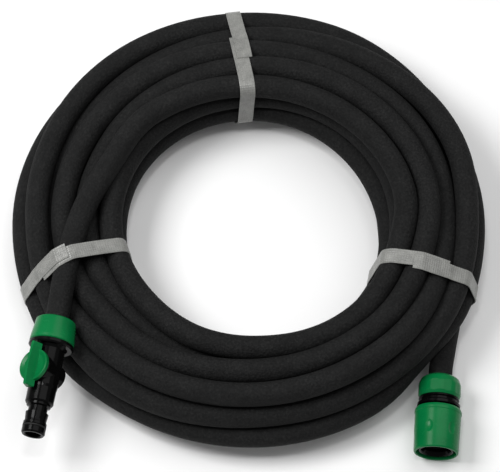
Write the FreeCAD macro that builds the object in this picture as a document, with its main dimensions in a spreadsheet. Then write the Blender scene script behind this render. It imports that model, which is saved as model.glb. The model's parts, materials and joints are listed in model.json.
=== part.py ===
import FreeCAD, Part
import math
import os
import re
import Sketcher

# Coiled soaker hose, in millimetres, +Z up, lying on the plane Z = 0.
# The origin is under the middle of the whole part. The coil's axis is vertical, and both hose
# ends leave the coil towards -Y: the shut-off valve on the left, high up, and the quick
# connector on the right, low down.

DIMENSIONS = [
    ("hose_outer_radius", 8.5, "porous hose, outside"),
    ("hose_bore_radius", 6.25, "porous hose, inside"),
    ("coil_radius", 171.0, "outside of the tied coil"),
    ("coil_centre_y", 1.36, "centre of the coil's outside, ahead of the origin"),
    ("coil_height", 66.0, "top of the coil"),
    ("hole_radius", 93.6, "inside of the coil"),
    ("hole_centre_x", 4.0, "centre of the coil's hole"),
    ("hole_centre_y", -3.8, "centre of the coil's hole"),
    ("coil_corner", 9.0, "rounding of the coil's outside, about one hose radius"),
    ("strap_width", 11.4, "strapping band"),
    ("strap_reach", 60.0, "half the length of the slab that cuts a band out of the coil's skin"),
    ("strap_proud", 0.4, "how far a band stands out of the coil"),
    ("strap_sunk", 0.5, "how far a tight band sinks into the coil"),
    ("fitting_clearance", 1.2, "room that the coil leaves round a fitting"),
    ("flow_bore_radius", 4.6, "water way through tails and ball"),
    ("tail_start", 2.6, "end of the hose tail, from the nut's back"),
    ("barb_radius", 6.7, "crest of the hose tail's barbs"),
    ("hose_entry_radius", 8.9, "holes that the hose passes through"),
    ("thread_radius", 12.5, "thread on both bodies, at its crest"),
    ("nut_thread_radius", 12.9, "inside of both nuts"),
    ("grip_radius", 8.8, "inside of the gripping rings"),
    ("grip_play", 0.3, "between a gripping ring and its nut"),
    ("grip_slot", 1.2, "slots between a gripping ring's fingers"),
    ("nut_flat_corner", 15.75, "corner radius of the connector nut's flats"),
    ("valve_nut_flat_corner", 16.5, "corner radius of the valve nut's flats"),
    ("connector_nut_length", 15.7, "connector nut"),
    ("connector_nut_radius", 15.25, "connector nut"),
    ("connector_grip_end", 8.6, "front of the connector's gripping ring"),
    ("connector_flange", 16.0, "back of the connector's flange"),
    ("connector_flange_radius", 14.4, "thin ridge of the black ring, next to the nut"),
    ("connector_ridge_radius", 15.3, "broad ridge of the black ring, inside the sleeve when it is pulled back"),
    ("connector_barrel_radius", 11.5, "barrel inside the sleeve"),
    ("connector_barrel_end", 50.0, "front of the barrel"),
    ("mouth_ring_radius", 12.6, "ring on the barrel's front that keeps the sleeve on"),
    ("mouth_ring_bore", 10.4, "opening of that ring"),
    ("mouth_ring_end", 55.2, "front of that ring"),
    ("socket_radius", 8.6, "socket for the spigot"),
    ("socket_floor", 27.6, "bottom of the socket"),
    ("latch_back", 44.9, "latches, side towards the nut"),
    ("latch_front", 48.1, "latches, side towards the mouth"),
    ("latch_inner_radius", 7.7, "how far the latches reach into the socket"),
    ("latch_outer_radius", 11.3, "outside of the latches"),
    ("latch_width", 5.0, "each latch"),
    ("latch_play", 0.3, "latch in its window"),
    ("latch_count", 3, "latches round the socket"),
    ("sleeve_start", 24.3, "back of the release sleeve"),
    ("sleeve_radius", 16.8, "back of the release sleeve"),
    ("sleeve_back_bore", 15.6, "back of the sleeve, where it passes over the broad ridge"),
    ("sleeve_mouth_radius", 15.9, "front of the release sleeve"),
    ("sleeve_end", 56.6, "front of the release sleeve"),
    ("sleeve_mouth_bore", 14.0, "opening at the sleeve's front"),
    ("sleeve_bore_radius", 11.85, "sleeve where it slides on the barrel"),
    ("sleeve_recess_radius", 13.1, "room for the open latches"),
    ("spring_seat", 38.0, "step in the sleeve that the spring pushes on"),
    ("spring_radius", 12.9, "middle of the return spring's wire"),
    ("spring_turns", 4.0, "turns of the sleeve's spring"),
    ("spring_wire_radius", 0.45, "return spring"),
    ("dimple_count", 6, "grip dimples round the sleeve"),
    ("dimple_first", 25, "degrees from the sleeve's top to the first dimple"),
    ("dimple_half_length", 6.2, "ball that presses a dimple, along the sleeve"),
    ("dimple_half_width", 4.6, "ball that presses a dimple, across the sleeve"),
    ("dimple_half_height", 2.4, "ball that presses a dimple, radially"),
    ("dimple_lift", 1.05, "middle of that ball, outside the sleeve's largest radius"),
    ("valve_nut_length", 17.6, "valve nut"),
    ("valve_nut_radius", 15.9, "valve nut, front"),
    ("valve_nut_back_radius", 14.3, "valve nut, back"),
    ("valve_grip_end", 9.9, "front of the valve's gripping ring"),
    ("valve_flange", 17.8, "back of the valve's flange"),
    ("valve_flange_radius", 16.0, "valve's flange"),
    ("valve_tube_radius", 10.5, "valve housing"),
    ("chamber_radius", 8.8, "bore that holds the ball and its seats"),
    ("chamber_start", 30.2, "back of the ball's bore"),
    ("ball_station", 39.0, "centre of the ball"),
    ("ball_radius", 8.0, "valve ball"),
    ("ball_play", 0.05, "between the ball and its seats"),
    ("seat_depth", 3.2, "length of a ball seat"),
    ("boss_radius", 10.8, "cross boss of the housing"),
    ("boss_top", 11.2, "boss, on the handle's side"),
    ("boss_root", 4.0, "how far both ends of the boss reach into the housing, past its axis"),
    ("boss_bottom", 12.2, "boss, on the far side"),
    ("boss_bottom_radius", 9.0, "boss, on the far side"),
    ("stem_radius", 4.2, "valve stem"),
    ("stem_play", 0.05, "stem in the boss"),
    ("stem_foot", 7.4, "where the stem stands on the ball"),
    ("housing_end", 50.0, "front of the valve housing"),
    ("spigot_bore_radius", 5.6, "water way in the spigot"),
    ("spigot_radius", 8.3, "nose of the spigot"),
    ("spigot_end", 85.6, "front of the spigot"),
    ("handle_foot", 11.6, "underside of the handle"),
    ("handle_radius", 11.8, "handle's dished disc"),
    ("handle_top", 20.6, "crest of the handle's bar"),
    ("handle_half_length", 16.2, "handle's bar, each way"),
    ("handle_bar_width", 6.8, "handle's bar, at its foot"),
    ("handle_crest_width", 1.6, "handle's bar, along its crest"),
    ("handle_arch_radius", 120.0, "arch along the crest of the handle's bar"),
    ("handle_end_rounding", 0.7, "upright edges of the handle's bar"),
]

# Where the two fittings lie: the middle of the nut's back face, the turn of the axis from -Y
# towards -X, and the lean of the handle to the left of straight up.
FITTING_PLACES = {
    "connector": {"at": (137.0, -115.0, 16.8), "turn": 5.3, "lean": 0.0},
    "valve": {"at": (-136.4, -83.8, 48.0), "turn": 8.8, "lean": 32.0},
}
# Where each band crosses the turns, and which way it runs over them, counter-clockwise from +X.
STRAPS = {
    "strap_rear": {"at": (-3.9, 117.4), "runs": 97.5},
    "strap_left": {"at": (-129.3, -36.9), "runs": 199.2},
    "strap_right": {"at": (127.0, -44.8), "runs": 348.9},
}

# The two stretches of hose outside the tied turns. Each ends against its fitting's shoulder.
VALVE_END_ROUTE = [
    (-101.5, 36.0, 56.5),
    (-119.0, 3.0, 56.9),
    (-128.3, -31.0, 55.6),
    (-132.4, -55.0, 51.2),
]
CONNECTOR_END_ROUTE = [
    (152.5, 8.0, 8.7),
    (152.0, -28.0, 8.7),
    (147.6, -60.0, 9.4),
    (142.2, -85.0, 13.6),
]
# How far the hose goes into each fitting from the back of its nut, and how far behind the nut its
# straight part starts.
HOSE_DEPTH = {"connector": 15.0, "valve": 16.6}
STRAIGHT_ENTRY = 9.0

doc = FreeCAD.newDocument("SoakerHose")
sheet = doc.addObject("Spreadsheet::Sheet", "Dims")
for row, (alias, value, note) in enumerate(DIMENSIONS, start=1):
    sheet.set("A%d" % row, note)
    sheet.set("B%d" % row, str(value))
    sheet.setAlias("B%d" % row, alias)
doc.recompute()
ALIASES = re.compile(r"\b(" + "|".join(alias for alias, value, note in DIMENSIONS) + r")\b")


def bound(formula):
    """The formula as an expression that reads the sheet's cells."""
    return ALIASES.sub(r"Dims.\1", str(formula))


def size(formula):
    """The formula's value, from the sheet."""
    return float(sheet.evalExpression(str(formula)))


def bind(feature, **formulas):
    for name, formula in formulas.items():
        feature.setExpression(name, bound(formula))
    return feature


def origin_plane(body, role):
    return next(plane for plane in body.Origin.OriginFeatures if plane.Role == role)


def place_corner(sketch, corner, index, formulas):
    """Tie one corner of a sketched outline to its two formulas."""
    for kind, axis, formula in (("DistanceX", -2, formulas[0]), ("DistanceY", -1, formulas[1])):
        value = size(formula)
        if abs(value) < 1e-9:
            sketch.addConstraint(Sketcher.Constraint("PointOnObject", corner, 1, axis))
        else:
            name = "%s_%d" % (kind, index)
            number = sketch.addConstraint(Sketcher.Constraint(kind, -1, 1, corner, 1, value))
            sketch.renameConstraint(number, name)
            sketch.setExpression("Constraints." + name, bound(formula))


def closed_sketch(body, name, outline, role="XZ_Plane"):
    """A closed outline of straight lines on one of the body's own planes."""
    sketch = body.newObject("Sketcher::SketchObject", name)
    sketch.AttachmentSupport = [(origin_plane(body, role), "")]
    sketch.MapMode = "FlatFace"
    points = [FreeCAD.Vector(size(across), size(along), 0) for across, along in outline]
    count = len(points)
    for index in range(count):
        sketch.addGeometry(Part.LineSegment(points[index], points[(index + 1) % count]), False)
    for index in range(count):
        sketch.addConstraint(Sketcher.Constraint("Coincident", index, 2, (index + 1) % count, 1))
    for index, formulas in enumerate(outline):
        place_corner(sketch, index, index, formulas)
    return sketch


def turned(label, outline):
    """A turned piece about local Z. The outline lists radius and height as formulas."""
    body = doc.addObject("PartDesign::Body", label)
    sketch = closed_sketch(body, label + "_outline", outline)
    revolution = body.newObject("PartDesign::Revolution", label + "_turned")
    revolution.Profile = sketch
    revolution.ReferenceAxis = (sketch, ["V_Axis"])
    revolution.Angle = 360.0
    sketch.Visibility = False
    doc.recompute()
    return body


def rings(shape, radius, height=None):
    """The names of a shape's circular edges of one radius, at one height if it is given."""
    found = []
    for number, edge in enumerate(shape.Edges, start=1):
        if not isinstance(edge.Curve, Part.Circle) or abs(edge.Curve.Radius - radius) > 1e-4:
            continue
        if height is None or abs(edge.Curve.Center.z - height) < 1e-4:
            found.append("Edge%d" % number)
    return found


def round_rings(body, radius, corners):
    """Round the circular edges at the given corners, each a radius and a height."""
    names = []
    for across, along in corners:
        names += rings(body.Shape, size(across), size(along))
    sharp = body.Tip
    fillet = body.newObject("PartDesign::Fillet", body.Label + "_round")
    fillet.Base = (sharp, names)
    fillet.Radius = size(radius)
    bind(fillet, Radius=radius)
    doc.recompute()
    return body


AXIS_TURNS = {
    "x": FreeCAD.Rotation(FreeCAD.Vector(0, 1, 0), 90),
    "y": FreeCAD.Rotation(FreeCAD.Vector(1, 0, 0), -90),
    "z": FreeCAD.Rotation(),
}


def cylinder(name, radius, height, base=(0, 0, 0), axis="z"):
    """A cylinder bound to formulas, from its base along one local axis."""
    solid = doc.addObject("Part::Cylinder", name)
    bind(solid, Radius=radius, Height=height)
    solid.Placement = FreeCAD.Placement(FreeCAD.Vector(*[size(value) for value in base]), AXIS_TURNS[axis])
    return solid


def block(name, lengths, corner, spin=0.0):
    """A box bound to formulas, its lowest corner given, then turned about local Z."""
    solid = doc.addObject("Part::Box", name)
    bind(solid, Length=lengths[0], Width=lengths[1], Height=lengths[2])
    start = FreeCAD.Placement(FreeCAD.Vector(*[size(value) for value in corner]), FreeCAD.Rotation())
    solid.Placement = FreeCAD.Placement(FreeCAD.Vector(), FreeCAD.Rotation(spin, 0, 0)).multiply(start)
    return solid


def ball(name, radius, station):
    solid = doc.addObject("Part::Sphere", name)
    bind(solid, Radius=radius)
    solid.Placement.Base.z = size(station)
    return solid


def fused(name, solids):
    joined = doc.addObject("Part::MultiFuse", name)
    joined.Shapes = solids
    joined.Refine = True
    return joined


def cut(name, base, tool):
    result = doc.addObject("Part::Cut", name)
    result.Base = base
    result.Tool = tool
    return result


def common(name, base, tool):
    result = doc.addObject("Part::Common", name)
    result.Base = base
    result.Tool = tool
    return result


def fitting_placement(which):
    """Local Z runs from the nut's back to the fitting's mouth, and local X is its top."""
    place = FITTING_PLACES[which]
    turn = math.radians(place["turn"])
    lean = math.radians(place["lean"])
    forward = FreeCAD.Vector(-math.sin(turn), -math.cos(turn), 0)
    left = FreeCAD.Vector(-math.cos(turn), math.sin(turn), 0)
    top = FreeCAD.Vector(0, 0, 1) * math.cos(lean) + left * math.sin(lean)
    rotation = FreeCAD.Rotation(top, forward.cross(top), forward, "ZXY")
    return FreeCAD.Placement(FreeCAD.Vector(*place["at"]), rotation)


SUBPARTS = {}


def subpart(label, feature, placement=None):
    """Name a finished sub-part and put it where it belongs."""
    feature.Label = label
    if placement is not None:
        feature.Placement = placement
    SUBPARTS[label] = feature
    return feature


# ---------------------------------------------------------------- the coil and its bands


def bundle(label, grow, floor):
    """The tied turns' outer shape, every face moved out by grow, standing on floor."""
    outline = [
        ("0", floor),
        ("coil_radius - 7 + %s" % grow, floor),
        ("coil_radius + %s" % grow, "9"),
        ("coil_radius + %s" % grow, "26"),
        ("coil_radius - 9 + %s" % grow, "47 + %s" % grow),
        ("coil_radius - 31 + %s" % grow, "coil_height + %s" % grow),
        ("0", "coil_height + %s" % grow),
    ]
    body = turned(label, outline)
    round_rings(body, "coil_corner", outline[2:6])
    hole = body.newObject("Sketcher::SketchObject", label + "_hole")
    hole.AttachmentSupport = [(origin_plane(body, "XY_Plane"), "")]
    hole.MapMode = "FlatFace"
    centre = FreeCAD.Vector(size("hole_centre_x"), size("hole_centre_y - coil_centre_y"), 0)
    hole.addGeometry(Part.Circle(centre, FreeCAD.Vector(0, 0, 1), size("hole_radius - %s" % grow)), False)
    for kind, formula in (("DistanceX", "hole_centre_x"), ("DistanceY", "hole_centre_y - coil_centre_y")):
        number = hole.addConstraint(Sketcher.Constraint(kind, -1, 1, 0, 3, size(formula)))
        hole.renameConstraint(number, kind)
        hole.setExpression("Constraints." + kind, bound(formula))
    number = hole.addConstraint(Sketcher.Constraint("Radius", 0, size("hole_radius - %s" % grow)))
    hole.renameConstraint(number, "HoleRadius")
    hole.setExpression("Constraints.HoleRadius", bound("hole_radius - %s" % grow))
    pocket = body.newObject("PartDesign::Pocket", label + "_pocket")
    pocket.Profile = hole
    pocket.Type = "ThroughAll"
    pocket.Midplane = True
    doc.recompute()
    fillet = body.newObject("PartDesign::Fillet", label + "_hole_round")
    top = size("coil_height + %s" % grow)
    fillet.Base = (pocket, rings(pocket.Shape, size("hole_radius - %s" % grow), top))
    fillet.Radius = size("coil_corner")
    bind(fillet, Radius="coil_corner")
    body.Placement.Base.y = size("coil_centre_y")
    doc.recompute()
    return body


def strap(label, place, skin):
    """One band: the part of the coil's skin that an upright slab across the turns cuts out."""
    lengths = ("2 * strap_reach", "strap_width", "coil_height + 10")
    slab = block(label + "_slab", lengths, ("-strap_reach", "-strap_width / 2", "-5"))
    turn = FreeCAD.Placement(FreeCAD.Vector(*place["at"], 0), FreeCAD.Rotation(place["runs"], 0, 0))
    slab.Placement = turn.multiply(slab.Placement)
    return subpart(label, common(label, skin, slab))


def relief(which, radius, start, length):
    """The room round a fitting that the coil has to leave free."""
    space = cylinder(which + "_relief", radius, length)
    lift = FreeCAD.Placement(FreeCAD.Vector(0, 0, start), FreeCAD.Rotation())
    space.Placement = fitting_placement(which).multiply(lift)
    return space


def build_coil():
    skin_outside = bundle("skin_outside", "strap_proud", "0")
    skin_inside = bundle("skin_inside", "(-strap_sunk)", "strap_sunk")
    skin = cut("skin", skin_outside, skin_inside)
    bands = [strap(label, place, skin) for label, place in STRAPS.items()]
    body = bundle("tied_turns", "0", "0")
    reliefs = [
        relief("connector", "connector_nut_radius + fitting_clearance", -8.0, 40),
        relief("valve", "valve_flange_radius + fitting_clearance", -8.0, 40),
    ]
    subpart("hose_coil", cut("hose_coil", body, fused("coil_spaces", bands + reliefs)))


def rounded_route(points):
    """Straight runs joined by tangent arcs. Prints each arc's radius."""
    corners = [FreeCAD.Vector(*point) for point in points]
    edges = []
    start = corners[0]
    radii = []
    for before, corner, after in zip(corners, corners[1:], corners[2:]):
        incoming = corner - before
        outgoing = after - corner
        reach = 0.45 * min(incoming.Length, outgoing.Length)
        half_turn = incoming.getAngle(outgoing) / 2
        radius = reach / math.tan(half_turn)
        radii.append(round(radius, 1))
        enter = corner - incoming.normalize() * reach
        leave = corner + outgoing.normalize() * reach
        bisector = (enter + leave) * 0.5 - corner
        centre = corner + bisector.normalize() * (radius / math.cos(half_turn))
        middle = centre + (corner - centre).normalize() * radius
        edges.append(Part.LineSegment(start, enter).toShape())
        edges.append(Part.Arc(enter, middle, leave).toShape())
        start = leave
    edges.append(Part.LineSegment(start, corners[-1]).toShape())
    return Part.Wire(edges), radii


def hose_end(label, which, route):
    """A stretch of hose from inside the coil to the fitting's shoulder, hollow round its tail."""
    placement = fitting_placement(which)
    entry = placement.multVec(FreeCAD.Vector(0, 0, -STRAIGHT_ENTRY))
    shoulder = placement.multVec(FreeCAD.Vector(0, 0, HOSE_DEPTH[which]))
    wire, radii = rounded_route(route + [tuple(entry), tuple(shoulder)])
    direction = FreeCAD.Vector(*route[1]) - FreeCAD.Vector(*route[0])
    section = Part.Circle(FreeCAD.Vector(*route[0]), direction, size("hose_outer_radius")).toShape()
    tube = wire.makePipeShell([Part.Wire([section])], True, False)
    expected = wire.Length * math.pi * size("hose_outer_radius") ** 2
    print("%s: arcs %s mm, length %.1f mm, volume %.4f of expected"
          % (label, radii, wire.Length, tube.Volume / expected))
    depth = HOSE_DEPTH[which] - size("tail_start") + 1.5
    bore = Part.makeCylinder(size("hose_bore_radius"), depth, FreeCAD.Vector(0, 0, size("tail_start") - 1.5))
    bore.Placement = placement
    feature = doc.addObject("Part::Feature", label)
    feature.Shape = tube.cut(bore)
    return subpart(label, feature)


# ---------------------------------------------------------------- what both ends share


def tail_outline(collar_start, shoulder):
    """The barbed tail and the threaded collar round the hose, from the tail's end forward."""
    return [
        ("flow_bore_radius", "tail_start"),
        ("hose_bore_radius - 0.4", "tail_start"),
        ("barb_radius", "tail_start + 2.4"),
        ("hose_bore_radius", "tail_start + 2.4"),
        ("hose_bore_radius", "tail_start + 3.4"),
        ("barb_radius", "tail_start + 5.6"),
        ("hose_bore_radius", "tail_start + 5.6"),
        ("hose_bore_radius", shoulder),
        ("hose_entry_radius", shoulder),
        ("hose_entry_radius", collar_start),
        ("thread_radius", collar_start),
    ]


def gripping_ring(label, which, start, end):
    """A ring whose slotted fingers the nut's cone presses on the hose."""
    ring = turned(label + "_ring", [
        ("grip_radius", start),
        ("grip_radius + 0.8", start),
        ("nut_thread_radius - 1.25 - grip_play", "%s - 0.6" % end),
        ("nut_thread_radius - 1.25 - grip_play", end),
        ("grip_radius", end),
    ])
    slots = []
    for number in range(3):
        name = "%s_slot_%d" % (label, number + 1)
        lengths = ("30", "grip_slot", "%s - %s - 1.6 + 1" % (end, start))
        slots.append(block(name, lengths, ("-15", "-grip_slot / 2", "%s - 1" % start), spin=60.0 * number))
    ring_cut = cut(label, ring, fused(label + "_slots", slots))
    subpart(label, ring_cut, fitting_placement(which))


def faceted(label, body, corner_radius, length, which, flats):
    """A turned nut with broad flats pressed into its rim."""
    prism = doc.addObject("Part::Prism", label + "_flats")
    prism.Polygon = flats
    bind(prism, Circumradius=corner_radius, Height=length)
    subpart(label, common(label, body, prism), fitting_placement(which))


# ---------------------------------------------------------------- the quick connector


def connector_nut():
    outline = [
        ("hose_entry_radius", "0"),
        ("connector_nut_radius - 4.0", "0"),
        ("connector_nut_radius - 1.4", "2.0"),
        ("connector_nut_radius", "6.2"),
        ("connector_nut_radius", "connector_nut_length - 2.2"),
        ("connector_nut_radius - 1.2", "connector_nut_length"),
        ("nut_thread_radius", "connector_nut_length"),
        ("nut_thread_radius", "connector_grip_end - 0.4"),
        ("nut_thread_radius - 1.2", "connector_grip_end - 0.4"),
        ("hose_entry_radius + 1.0", "2.4"),
        ("hose_entry_radius", "2.4"),
    ]
    body = turned("connector_nut_turned", outline)
    round_rings(body, "0.9", outline[1:4])
    faceted("connector_nut", body, "nut_flat_corner", "connector_nut_length", "connector", 10)


def latch_angles():
    count = int(size("latch_count"))
    return [360.0 * number / count for number in range(count)]


def connector_body():
    outline = tail_outline("connector_grip_end + 0.6", "connector_flange - 1.0") + [
        ("thread_radius", "connector_flange"),
        ("connector_flange_radius - 0.4", "connector_flange"),
        ("connector_flange_radius", "connector_flange + 0.4"),
        ("connector_flange_radius", "connector_flange + 1.0"),
        ("connector_ridge_radius - 2.1", "connector_flange + 1.8"),
        ("connector_ridge_radius - 2.1", "connector_flange + 3.2"),
        ("connector_ridge_radius", "connector_flange + 4.6"),
        ("connector_ridge_radius", "connector_flange + 6.5"),
        ("spring_radius + 0.5", "connector_flange + 7.2"),
        ("spring_radius + 0.5", "socket_floor - 0.6"),
        ("connector_barrel_radius", "socket_floor - 0.6"),
        ("connector_barrel_radius", "connector_barrel_end"),
        ("socket_radius + 0.9", "connector_barrel_end"),
        ("socket_radius + 0.4", "connector_barrel_end - 0.8"),
        ("socket_radius + 0.4", "latch_back - 0.9"),
        ("socket_radius", "latch_back - 0.9"),
        ("socket_radius", "socket_floor + 0.5"),
        ("socket_radius - 0.6", "socket_floor"),
        ("flow_bore_radius", "socket_floor"),
    ]
    body = turned("connector_body_turned", outline)
    windows = []
    for number, angle in enumerate(latch_angles(), start=1):
        lengths = ("8", "latch_width + 2 * latch_play", "latch_front - latch_back + 2 * latch_play")
        corner = ("6", "-latch_width / 2 - latch_play", "latch_back - latch_play")
        windows.append(block("latch_window_%d" % number, lengths, corner, spin=angle))
    result = cut("connector_body", body, fused("latch_windows", windows))
    subpart("connector_body", result, fitting_placement("connector"))


def connector_mouth_ring():
    """A ring on the barrel's front, with a funnel that leads the plug-in nose into the socket."""
    body = turned("connector_mouth_ring", [
        ("socket_radius + 0.9", "connector_barrel_end"),
        ("mouth_ring_radius - 0.5", "connector_barrel_end"),
        ("mouth_ring_radius", "connector_barrel_end + 0.5"),
        ("mouth_ring_radius", "mouth_ring_end - 0.6"),
        ("mouth_ring_radius - 0.6", "mouth_ring_end"),
        ("mouth_ring_bore + 0.7", "mouth_ring_end"),
        ("mouth_ring_bore", "mouth_ring_end - 0.7"),
        ("socket_radius + 0.9", "connector_barrel_end + 2.4"),
    ])
    subpart("connector_mouth_ring", body, fitting_placement("connector"))


def connector_latches():
    """Three claws that hold the spigot's ridge and open outwards."""
    for number, angle in enumerate(latch_angles(), start=1):
        label = "connector_latch_%d" % number
        ring = turned(label + "_ring", [
            ("latch_inner_radius", "latch_back"),
            ("latch_outer_radius", "latch_back"),
            ("latch_outer_radius", "latch_front"),
            ("latch_inner_radius + 1.5", "latch_front"),
            ("latch_inner_radius", "latch_front - 1.6"),
        ])
        lengths = ("8", "latch_width", "latch_front - latch_back + 2")
        segment = block(label + "_segment", lengths, ("5", "-latch_width / 2", "latch_back - 1"), spin=angle)
        subpart(label, common(label, ring, segment), fitting_placement("connector"))


def connector_sleeve():
    outline = [
        ("sleeve_back_bore", "sleeve_start"),
        ("sleeve_radius - 0.7", "sleeve_start"),
        ("sleeve_radius", "sleeve_start + 1.6"),
        ("sleeve_radius", "sleeve_start + 3.4"),
        ("sleeve_radius - 0.3", "sleeve_start + 3.8"),
        ("sleeve_mouth_radius", "sleeve_end - 0.9"),
        ("sleeve_mouth_radius - 0.6", "sleeve_end"),
        ("sleeve_mouth_bore + 0.3", "sleeve_end"),
        ("sleeve_mouth_bore", "sleeve_end - 0.6"),
        ("sleeve_mouth_bore", "sleeve_end - 5.2"),
        ("sleeve_recess_radius", "sleeve_end - 5.9"),
        ("sleeve_recess_radius", "latch_back + 4.15"),
        ("sleeve_bore_radius", "latch_back + 0.6"),
        ("sleeve_bore_radius", "spring_seat"),
        ("spring_radius + 1.4", "spring_seat"),
        ("spring_radius + 1.4", "sleeve_start + 3.2"),
        ("sleeve_back_bore", "sleeve_start + 3.2"),
    ]
    body = turned("connector_sleeve_turned", outline)
    round_rings(body, "0.4", outline[2:3] + outline[5:7])
    count = int(size("dimple_count"))
    dimples = []
    for number in range(count):
        dimple = doc.addObject("Part::Ellipsoid", "grip_dimple_%d" % (number + 1))
        bind(dimple, Radius1="dimple_half_height", Radius2="dimple_half_length", Radius3="dimple_half_width")
        dimple.Angle1 = -90
        dimple.Angle2 = 90
        angle = size("dimple_first") + 360.0 * number / count
        spin = FreeCAD.Placement(FreeCAD.Vector(), FreeCAD.Rotation(angle, 0, 0))
        middle = (size("sleeve_radius + dimple_lift"), 0, size("(sleeve_start + sleeve_end) / 2 + 1"))
        out = FreeCAD.Placement(FreeCAD.Vector(*middle), FreeCAD.Rotation(FreeCAD.Vector(0, 1, 0), 90))
        dimple.Placement = spin.multiply(out)
        dimples.append(dimple)
    result = cut("connector_sleeve", body, fused("grip_dimples", dimples))
    subpart("connector_sleeve", result, fitting_placement("connector"))


def connector_spring():
    """The wire spring that pushes the release sleeve forward again."""
    start = size("socket_floor - 0.6 + spring_wire_radius + 0.05")
    end = size("spring_seat - spring_wire_radius - 0.05")
    turns = size("spring_turns")
    helix = Part.makeHelix((end - start) / turns, end - start, size("spring_radius"))
    helix.translate(FreeCAD.Vector(0, 0, start))
    first = FreeCAD.Vector(size("spring_radius"), 0, start)
    section = Part.Circle(first, FreeCAD.Vector(0, 1, 0), size("spring_wire_radius")).toShape()
    coil = Part.Wire(helix.Edges).makePipeShell([Part.Wire([section])], True, True)
    feature = doc.addObject("Part::Feature", "connector_spring")
    feature.Shape = coil
    subpart("connector_spring", feature, fitting_placement("connector"))


# ---------------------------------------------------------------- the shut-off valve


def valve_nut():
    outline = [
        ("hose_entry_radius", "0"),
        ("valve_nut_back_radius - 0.9", "0"),
        ("valve_nut_back_radius", "0.9"),
        ("valve_nut_radius", "valve_nut_length - 2.6"),
        ("valve_nut_radius", "valve_nut_length - 0.7"),
        ("valve_nut_radius - 0.6", "valve_nut_length"),
        ("nut_thread_radius", "valve_nut_length"),
        ("nut_thread_radius", "valve_grip_end - 0.4"),
        ("nut_thread_radius - 1.2", "valve_grip_end - 0.4"),
        ("hose_entry_radius + 1.0", "3.0"),
        ("hose_entry_radius", "3.0"),
    ]
    body = turned("valve_nut_turned", outline)
    round_rings(body, "0.6", outline[1:3])
    faceted("valve_nut", body, "valve_nut_flat_corner", "valve_nut_length", "valve", 12)


def eased_boss(label, radius, length, start):
    """One end of the cross boss: a cylinder across the flow, with its rims chamfered."""
    boss = cylinder(label, radius, length, (start, 0, "ball_station"), "x")
    doc.recompute()
    eased = doc.addObject("Part::Chamfer", label + "_eased")
    eased.Base = boss
    eased.Edges = [(number, 0.9, 0.9) for number, edge in enumerate(boss.Shape.Edges, start=1)
                   if isinstance(edge.Curve, Part.Circle)]
    return eased


def valve_body():
    """Tail, flange, and the housing round the ball, with the boss that the stem comes out of."""
    outline = tail_outline("valve_grip_end + 0.6", "valve_flange - 1.2") + [
        ("thread_radius", "valve_flange"),
        ("valve_flange_radius - 0.4", "valve_flange"),
        ("valve_flange_radius", "valve_flange + 0.4"),
        ("valve_flange_radius", "valve_flange + 2.2"),
        ("valve_flange_radius - 1.0", "valve_flange + 3.2"),
        ("valve_tube_radius + 1.4", "valve_flange + 3.2"),
        ("valve_tube_radius", "valve_flange + 5.0"),
        ("valve_tube_radius", "housing_end"),
        ("chamber_radius", "housing_end"),
        ("chamber_radius", "chamber_start"),
        ("flow_bore_radius", "chamber_start"),
    ]
    housing = turned("valve_housing", outline)
    top = eased_boss("valve_boss_top", "boss_radius", "boss_root + boss_top", "-boss_root")
    bottom = eased_boss("valve_boss_bottom", "boss_bottom_radius", "boss_root + boss_bottom", "-boss_bottom")
    outside = fused("valve_outside", [housing, top, bottom])
    chamber = cylinder(
        "ball_chamber", "chamber_radius", "housing_end - chamber_start + 5", (0, 0, "chamber_start"))
    stem_hole = cylinder(
        "stem_hole", "stem_radius + stem_play", "boss_top + 5", (0, 0, "ball_station"), "x")
    result = cut("valve_body", outside, fused("valve_hollows", [chamber, stem_hole]))
    subpart("valve_body", result, fitting_placement("valve"))


def valve_spigot():
    """The plug-in nose, welded into the housing's front."""
    outline = [
        ("spigot_bore_radius", "housing_end - 2.2"),
        ("chamber_radius", "housing_end - 2.2"),
        ("chamber_radius", "housing_end"),
        ("valve_tube_radius", "housing_end"),
        ("valve_tube_radius - 0.4", "housing_end + 2.0"),
        ("valve_tube_radius - 0.5", "spigot_end - 23.6"),
        ("valve_tube_radius - 1.1", "spigot_end - 22.6"),
        ("spigot_radius + 0.3", "spigot_end - 22.4"),
        ("spigot_radius + 0.2", "spigot_end - 20.9"),
        ("spigot_radius - 1.6", "spigot_end - 20.2"),
        ("spigot_radius - 1.6", "spigot_end - 16.2"),
        ("spigot_radius - 0.2", "spigot_end - 15.6"),
        ("spigot_radius - 0.7", "spigot_end - 10.4"),
        ("spigot_radius - 0.7", "spigot_end - 9.2"),
        ("spigot_radius", "spigot_end - 8.6"),
        ("spigot_radius", "spigot_end - 6.6"),
        ("spigot_radius - 1.4", "spigot_end - 6.6"),
        ("spigot_radius - 1.4", "spigot_end - 4.6"),
        ("spigot_radius", "spigot_end - 4.6"),
        ("spigot_radius", "spigot_end - 1.2"),
        ("spigot_radius - 0.8", "spigot_end"),
        ("spigot_bore_radius + 0.7", "spigot_end"),
        ("spigot_bore_radius", "spigot_end - 0.7"),
    ]
    body = turned("valve_spigot", outline)
    subpart("valve_spigot", body, fitting_placement("valve"))


def seal_ring(label, middle_radius, thickness_radius, placement):
    ring = doc.addObject("Part::Torus", label)
    bind(ring, Radius1=middle_radius, Radius2=thickness_radius)
    subpart(label, ring, placement)


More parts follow.
